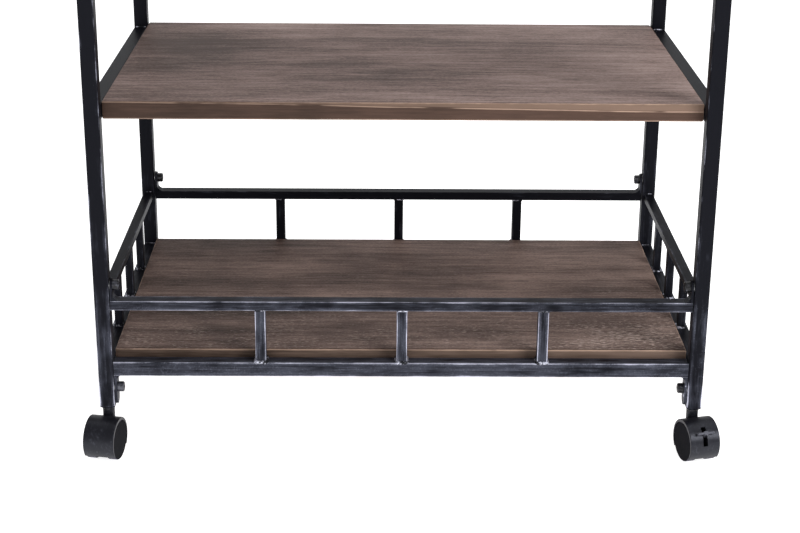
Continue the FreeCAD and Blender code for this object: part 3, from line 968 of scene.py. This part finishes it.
# ------------------------------------------------------------------ weld beads
@dataclass
class WeldRun:
    """One rippled bead of weld along a path.

    Attributes:
        path: points along the bead, evenly spaced.
        radius: half its width.
        closed: whether it runs round and meets itself.
        sides: sides of its section.
        crest: how much wider it is on a ripple, as a share.
        trough: how much narrower it is between ripples, as a share.
        uneven: most that chance adds or takes, as a share.
        end_share: its width at an open end, as a share.
    """

    path: list[Vector]
    radius: float
    closed: bool
    sides: int = 8
    crest: float = 0.16
    trough: float = 0.10
    uneven: float = 0.14
    end_share: float = 0.55

    def add_to(self, shape: bmesh.types.BMesh, chance: random.Random) -> None:
        """Add the bead to a mesh.

        Args:
            shape: the mesh to add to.
            chance: source of the bead's unevenness.
        """
        count = len(self.path)
        rings = []
        for index, point in enumerate(self.path):
            before = self.path[index - 1] if index or self.closed else point
            after = self.path[(index + 1) % count] if index + 1 < count or self.closed else point
            along = (after - before).normalized()
            wave = self.crest if index % 2 else -self.trough
            ripple = 1.0 + wave + chance.uniform(-self.uneven, self.uneven)
            end = 1.0 if self.closed or 0 < index < count - 1 else self.end_share
            rings.append(self._ring(shape, point, along, self.radius * ripple * end))
        steps = range(count) if self.closed else range(count - 1)
        for index in steps:
            first, second = rings[index], rings[(index + 1) % count]
            for side in range(self.sides):
                following = (side + 1) % self.sides
                shape.faces.new((first[side], first[following], second[following], second[side]))
        if not self.closed:
            shape.faces.new(rings[0][::-1])
            shape.faces.new(rings[-1])

    def _ring(
        self, shape: bmesh.types.BMesh, centre: Vector, along: Vector, radius: float
    ) -> list[bmesh.types.BMVert]:
        """Ring of vertices round a point of the path.

        Args:
            shape: the mesh to add to.
            centre: middle of the ring.
            along: direction of the path there.
            radius: radius of the ring.

        Returns:
            The ring's vertices.
        """
        up = Vector((0.0, 0.0, 1.0)) if abs(along.z) < 0.9 else Vector((1.0, 0.0, 0.0))
        first = along.cross(up).normalized()
        second = along.cross(first).normalized()
        ring = []
        for side in range(self.sides):
            turn = 2 * math.pi * side / self.sides
            ring.append(shape.verts.new(centre + (first * math.cos(turn) + second * math.sin(turn)) * radius))
        return ring


def straight_path(start: Vector, end: Vector, pitch: float) -> list[Vector]:
    """Evenly spaced points from start to end."""
    count = max(3, round((end - start).length / pitch))
    return [start.lerp(end, step / count) for step in range(count + 1)]


def loop_path(
    centre: Vector, half_x: float, half_y: float, corner: float, pitch: float, corner_steps: int = 3
) -> list[Vector]:
    """Evenly spaced points round a rounded rectangle in a level plane.

    Args:
        centre: middle of the rectangle.
        half_x: half its size along X.
        half_y: half its size along Y.
        corner: radius of its corners.
        pitch: spacing of the points.
        corner_steps: straight steps round each corner.

    Returns:
        The points, once round.
    """
    outline = []
    for quarter in range(4):
        sign_x = 1 if quarter in (0, 3) else -1
        sign_y = 1 if quarter in (0, 1) else -1
        middle = centre + Vector((sign_x * (half_x - corner), sign_y * (half_y - corner), 0.0))
        for step in range(corner_steps + 1):
            turn = math.radians(90 * quarter + 90 / corner_steps * step)
            outline.append(middle + Vector((math.cos(turn), math.sin(turn), 0.0)) * corner)
    points = []
    for index, point in enumerate(outline):
        following = outline[(index + 1) % len(outline)]
        count = max(1, round((following - point).length / pitch))
        points.extend(point.lerp(following, step / count) for step in range(count))
    return points


@dataclass
class Welds:
    """Weld beads of the frame: at both ends of every baluster and of every side rail.

    Attributes:
        radius: half width of the beads at the balusters' feet.
        light_radius: half width of the other beads.
        pitch: spacing of the ripples.
        tube_corner: radius of the balusters' corners.
        rail_inset: distance from a rail's side to the end of its bead.
        runs: the beads of each group, by the group's name.
    """

    radius: float = 2.3 * MM
    light_radius: float = 1.2 * MM
    pitch: float = 1.7 * MM
    tube_corner: float = 1.2 * MM
    rail_inset: float = 2.2 * MM
    runs: dict[str, list[WeldRun]] = field(default_factory=dict)

    def build(self) -> None:
        """Work out every bead from the boxes of the pieces that it joins."""
        for word in ("front", "rear", "left", "right"):
            self.runs[word + "_baluster_welds"] = self._balusters(word)
        for side, rail in product(("left", "right"), ("top", "middle", "gallery", "lower")):
            node = f"{side}_{rail}_rail"
            self.runs[node + "_welds"] = self._rail_ends(node)

    def _balusters(self, word: str) -> list[WeldRun]:
        """Beads round the foot and the head of each baluster of one panel.

        Args:
            word: which panel.

        Returns:
            The beads.
        """
        low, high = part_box(word + "_balusters")
        along = (Axis.X if word in ("front", "rear") else Axis.Y).value
        across = 1 - along
        half = [0.0, 0.0]
        half[along] = BALUSTER_WIDTH / 2
        half[across] = (high[across] - low[across]) / 2
        reach = (high[along] - low[along]) / 2 - half[along]
        runs = []
        ends = ((low.z, self.radius), (high.z, self.light_radius))
        for step, (height, radius) in product((-1, 0, 1), ends):
            centre = (low + high) / 2
            centre[along] += step * reach
            centre.z = height
            path = loop_path(centre, *half, self.tube_corner, self.pitch)
            runs.append(WeldRun(path, radius, True))
        return runs

    def _rail_ends(self, node: str) -> list[WeldRun]:
        """Short beads over and under both ends of one side rail.

        Args:
            node: the rail's CAD node.

        Returns:
            The beads.
        """
        low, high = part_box(node)
        runs = []
        for y, z in product((low.y, high.y), (low.z, high.z)):
            start = Vector((low.x + self.rail_inset, y, z))
            end = Vector((high.x - self.rail_inset, y, z))
            runs.append(WeldRun(straight_path(start, end, self.pitch), self.light_radius, False))
        return runs

    def dress(self, finish: WeldMetal) -> None:
        """Make one mesh for each group of beads.

        Args:
            finish: the weld metal.
        """
        material = finish.material()
        for seed, (name, runs) in enumerate(self.runs.items()):
            chance = random.Random(seed)
            shape = bmesh.new()
            for run in runs:
                run.add_to(shape, chance)
            bmesh.ops.recalc_face_normals(shape, faces=shape.faces)
            add_piece(name, finished_mesh(shape, name), material, "frame", "burnished_steel")


# ------------------------------------------------------------------ frame
@dataclass
class SteelFrame:
    """Posts, rails, balusters and plates, which keep their CAD meshes and get their finish.

    Attributes:
        nodes: the CAD nodes.
    """

    nodes: dict[str, bpy.types.Object]

    def dress(self) -> None:
        """Finish every steel piece of the frame, one family of bars at a time: axis, name, wear, nodes."""
        rails = ("top_rail", "middle_rail", "lower_rail")
        families = (
            (Axis.Z, "front_posts", 0.35, ["post_front_left", "post_front_right"]),
            (Axis.Z, "rear_posts", 0.2, ["post_rear_left", "post_rear_right"]),
            (Axis.Y, "side_rails", 0.3, [f"{side}_{rail}" for side in ("left", "right") for rail in rails]),
            (Axis.Y, "side_gallery", 0.2, ["left_gallery_rail", "right_gallery_rail"]),
            (Axis.X, "front_bar", 0.75, ["front_lower_bar"]),
            (Axis.X, "front_gallery", 0.6, ["front_gallery_rail"]),
            (Axis.X, "rear_bar", 0.4, ["rear_lower_bar"]),
            (Axis.X, "rear_gallery", 0.0, ["rear_gallery_rail"]),
            (Axis.Z, "front_balusters", 0.8, ["front_balusters"]),
            (Axis.Z, "rear_balusters", 0.0, ["rear_balusters"]),
            (Axis.Z, "side_balusters", 0.2, ["left_balusters", "right_balusters"]),
        )
        for along, name, wear, members in families:
            others = [axis for axis in Axis if axis is not along]
            bands = (self._band(others[0], members), self._band(others[1], members))
            dress(self.nodes, members, BurnishedSteel(wear=wear).material(BarFamily(name, along, bands)))
        plates = [name for name in self.nodes if name.endswith(("_tabs", "_brackets", "_ledges", "_plugs"))]
        dress(self.nodes, plates, BurnishedSteel(wear=0.4).plain("plates"))

    def _band(self, axis: Axis, members: list[str]) -> Band:
        """Where bars stand on one axis, measured from their CAD boxes.

        Args:
            axis: the axis.
            members: the bars' nodes.

        Returns:
            The band.
        """
        middles: set[float] = set()
        half = 0.0
        for member in members:
            box_low, box_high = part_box(member)
            low, high = box_low[axis.value], box_high[axis.value]
            if member.endswith("_balusters") and high - low > PANEL_BALUSTERS * BALUSTER_WIDTH:
                half = BALUSTER_WIDTH / 2
                step = (high - low - BALUSTER_WIDTH) / (PANEL_BALUSTERS - 1)
                middles.update(round(low + half + step * index, 5) for index in range(PANEL_BALUSTERS))
            else:
                half = (high - low) / 2
                middles.add(round((low + high) / 2, 5))
        return Band(axis, tuple(sorted(middles)), half)


@dataclass
class SmallParts:
    """Fasteners and caster pieces, which keep their CAD meshes and get their finish.

    Attributes:
        nodes: the CAD nodes.
    """

    nodes: dict[str, bpy.types.Object]

    def dress(self) -> None:
        """Finish each group of small parts."""
        oxide = PlainSteel(
            "black_oxide", dark=(0.006, 0.006, 0.008), light=(0.09, 0.093, 0.115),
            metallic=0.4, roughness=0.38,
        )
        zinc = PlainSteel(
            "zinc_plate", dark=(0.30, 0.30, 0.31), light=(0.62, 0.62, 0.63), metallic=1.0, roughness=0.38
        )
        hoods = MouldedNylon(
            "caster_nylon", black=(0.0060, 0.0060, 0.0085), scuffed=(0.034, 0.035, 0.045),
            roughness=0.36, gloss=0.34,
        )
        # The levers' nylon is far lighter than the hoods': a painted highlight for the lever's lit top edge.
        levers = MouldedNylon(
            "lever_nylon", black=(0.050, 0.051, 0.063), scuffed=(0.14, 0.14, 0.17), roughness=0.36, gloss=0.40
        )
        groups = (
            (oxide, ("panel_bolts", "_stem")),
            (zinc, ("rivet_nuts", "shelf_screws", "_axle", "_pin")),
            (hoods, ("_hood",)),
            (levers, ("_lever",)),
        )
        for finish, endings in groups:
            dress(self.nodes, [name for name in self.nodes if name.endswith(endings)], finish.material())
        for corner in CORNERS:
            wheels = [corner + "_inner_wheel", corner + "_outer_wheel"]
            dress(self.nodes, wheels, WheelNylon(corner).material())


@dataclass
class GateMarks:
    """Small raised moulding marks low on the drum of the casters without a brake.

    Attributes:
        radius: radius of a mark.
        rise: how far it stands out.
        sides: its sides.
        drum_radius: the drum's outer radius.
        drum_lift: how far the drum's centre is above the axle.
        tilt: angle of a mark below the drum's middle, in degrees.
        shift: how far a mark is off the middle of the drum's width.
    """

    radius: float = 1.1 * MM
    rise: float = 0.35 * MM
    sides: int = 16
    drum_radius: float = 27.8 * MM
    drum_lift: float = 1.6 * MM
    tilt: float = 16.0
    shift: float = 2.0 * MM

    def dress(self, nylon: MouldedNylon) -> None:
        """Make a mark on each drum.

        Args:
            nylon: the material of the marks.
        """
        material = nylon.material()
        for corner in CORNERS_WITHOUT_BRAKE:
            axle, back = caster_axle(corner)
            across = Vector((0.0, 0.0, 1.0)).cross(back)
            down = math.radians(self.tilt)
            normal = back * math.cos(down) - Vector((0.0, 0.0, math.sin(down)))
            centre = axle + Vector((0.0, 0.0, self.drum_lift))
            self._mark(corner, centre + normal * self.drum_radius - across * self.shift, normal, material)

    def _mark(self, corner: str, place: Vector, normal: Vector, material: bpy.types.Material) -> None:
        """Make one mark.

        Args:
            corner: the caster's corner.
            place: middle of the mark on the drum.
            normal: outward direction there.
            material: its material.
        """
        shape = bmesh.new()
        turn = normal.to_track_quat("Z", "Y").to_matrix().to_4x4()
        bmesh.ops.create_cone(
            shape, cap_ends=True, segments=self.sides, radius1=self.radius, radius2=self.radius * 0.6,
            depth=self.rise * 2, matrix=Matrix.Translation(place) @ turn,
        )
        name = corner + "_gate_mark"
        mesh = finished_mesh(shape, name)
        add_piece(name, mesh, material, corner + "_caster", "caster_plastic", smooth=False)


# ------------------------------------------------------------------ studio
@dataclass(frozen=True)
class Lamp:
    """One square soft light that faces a point over the floor's middle.

    Attributes:
        name: its name.
        place: where it hangs.
        aim_height: height of the point that it faces.
        size: length of its side.
        watts: its power.
    """

    name: str
    place: Triple
    aim_height: float
    size: float
    watts: float

    def hang(self) -> None:
        """Add the light to the scene."""
        data = bpy.data.lights.new(self.name, "AREA")
        data.size = self.size
        data.energy = self.watts
        lamp = bpy.data.objects.new(self.name, data)
        lamp.location = self.place
        towards = Vector((0.0, 0.0, self.aim_height)) - Vector(self.place)
        lamp.rotation_euler = towards.to_track_quat("-Z", "Y").to_euler()
        bpy.context.scene.collection.objects.link(lamp)


LAMPS = (
    Lamp("overhead", (0.3, 0.1, 3.1), 0.3, size=2.6, watts=46.0),
    Lamp("key", (2.1, -2.3, 1.9), 0.3, size=1.4, watts=66.0),
    Lamp("front_fill", (-0.6, -3.6, 0.9), 0.2, size=1.8, watts=20.0),
    Lamp("left_fill", (-2.7, -0.6, 1.2), 0.3, size=1.8, watts=14.0),
    Lamp("back_fill", (0.0, 3.0, 1.8), 0.3, size=2.2, watts=14.0),
)


@dataclass
class Studio:
    """Pale floor, soft lights and the camera.

    Attributes:
        floor_reach: half the floor's size.
        floor_glow: light that the floor gives off, which keeps its shadows pale.
        surroundings: strength of the light from all round.
        camera_place: where the camera stands.
        turn: camera's turn about Z, in degrees.
        tilt: camera's tilt below the horizon, in degrees.
        roll: camera's roll, in degrees.
        lens: focal length in millimetres.
        sensor: width of the sensor in millimetres.
    """

    floor_reach: float = 60.0
    floor_glow: float = 0.84
    surroundings: float = 0.20
    camera_place: Vector = field(default_factory=lambda: Vector((-0.0275, -2.1896, 0.9762)))
    turn: float = -0.716
    tilt: float = 20.22
    roll: float = 0.473
    lens: float = 76.6
    sensor: float = 36.0

    def build(self) -> None:
        """Make the floor, the lights, the world and the camera."""
        self._floor()
        self._world()
        for lamp in LAMPS:
            lamp.hang()
        self._camera()

    def _floor(self) -> None:
        """Pale seamless floor."""
        shape = bmesh.new()
        bmesh.ops.create_grid(shape, x_segments=1, y_segments=1, size=self.floor_reach)
        mesh = finished_mesh(shape, "studio_floor")
        floor = bpy.data.objects.new("studio_floor", mesh)
        bpy.context.scene.collection.objects.link(floor)
        tree = Tree("studio_floor")
        cloud = tree.grain(0.6, 2.0, 0.5)
        colour = tree.mix(cloud, (0.93, 0.93, 0.935), (0.95, 0.95, 0.95))
        glow = {"Emission Color": (1.0, 1.0, 1.0, 1.0), "Emission Strength": self.floor_glow}
        mesh.materials.append(tree.surface(colour, 0.9, 0.0, fixed=glow))

    def _world(self) -> None:
        """Even pale surroundings."""
        world = bpy.data.worlds.new("studio")
        world.use_nodes = True
        background = world.node_tree.nodes["Background"]
        background.inputs["Color"].default_value = (1.0, 1.0, 1.0, 1.0)
        background.inputs["Strength"].default_value = self.surroundings
        bpy.context.scene.world = world

    def _camera(self) -> None:
        """Camera that looks slightly down on the front of the cart."""
        data = bpy.data.cameras.new("camera")
        data.lens = self.lens
        data.sensor_width = self.sensor
        camera = bpy.data.objects.new("camera", data)
        bpy.context.scene.collection.objects.link(camera)
        aim = (
            Matrix.Rotation(math.radians(self.turn), 4, "Z")
            @ Matrix.Rotation(math.radians(90.0 - self.tilt), 4, "X")
            @ Matrix.Rotation(math.radians(self.roll), 4, "Z")
        )
        camera.matrix_world = Matrix.Translation(self.camera_place) @ aim
        bpy.context.scene.camera = camera
        bpy.context.scene.view_settings.view_transform = "Standard"


def main() -> None:
    """Build the whole scene."""
    logging.basicConfig(level=logging.INFO, format="%(name)s %(message)s")
    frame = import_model()
    nodes = frame["nodes"]
    SteelFrame(nodes).dress()
    SmallParts(nodes).dress()
    welds = Welds()
    welds.build()
    welds.dress(WeldMetal())
    marks = MouldedNylon(
        "gate_mark_nylon", black=(0.05, 0.05, 0.06), scuffed=(0.16, 0.16, 0.18), roughness=0.38, gloss=0.3
    )
    GateMarks().dress(marks)
    lower_stain = {
        "dark": (0.050, 0.032, 0.026), "middle": (0.160, 0.109, 0.093), "light": (0.350, 0.255, 0.218),
        "edge_dark": (0.056, 0.035, 0.025), "edge_light": (0.210, 0.142, 0.110), "edge_wear": 0.7,
        "flecks": 0.6, "shift": 17.0, "line_drop": 0.0,
    }
    shelves = (("top_shelf", {"shift": 31.0}), ("middle_shelf", {}), ("lower_shelf", lower_stain))
    for node, stain in shelves:
        Board(node, StainedWood(node, *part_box(node), **stain)).dress()
    Studio().build()


if __name__ == "__main__":
    main()
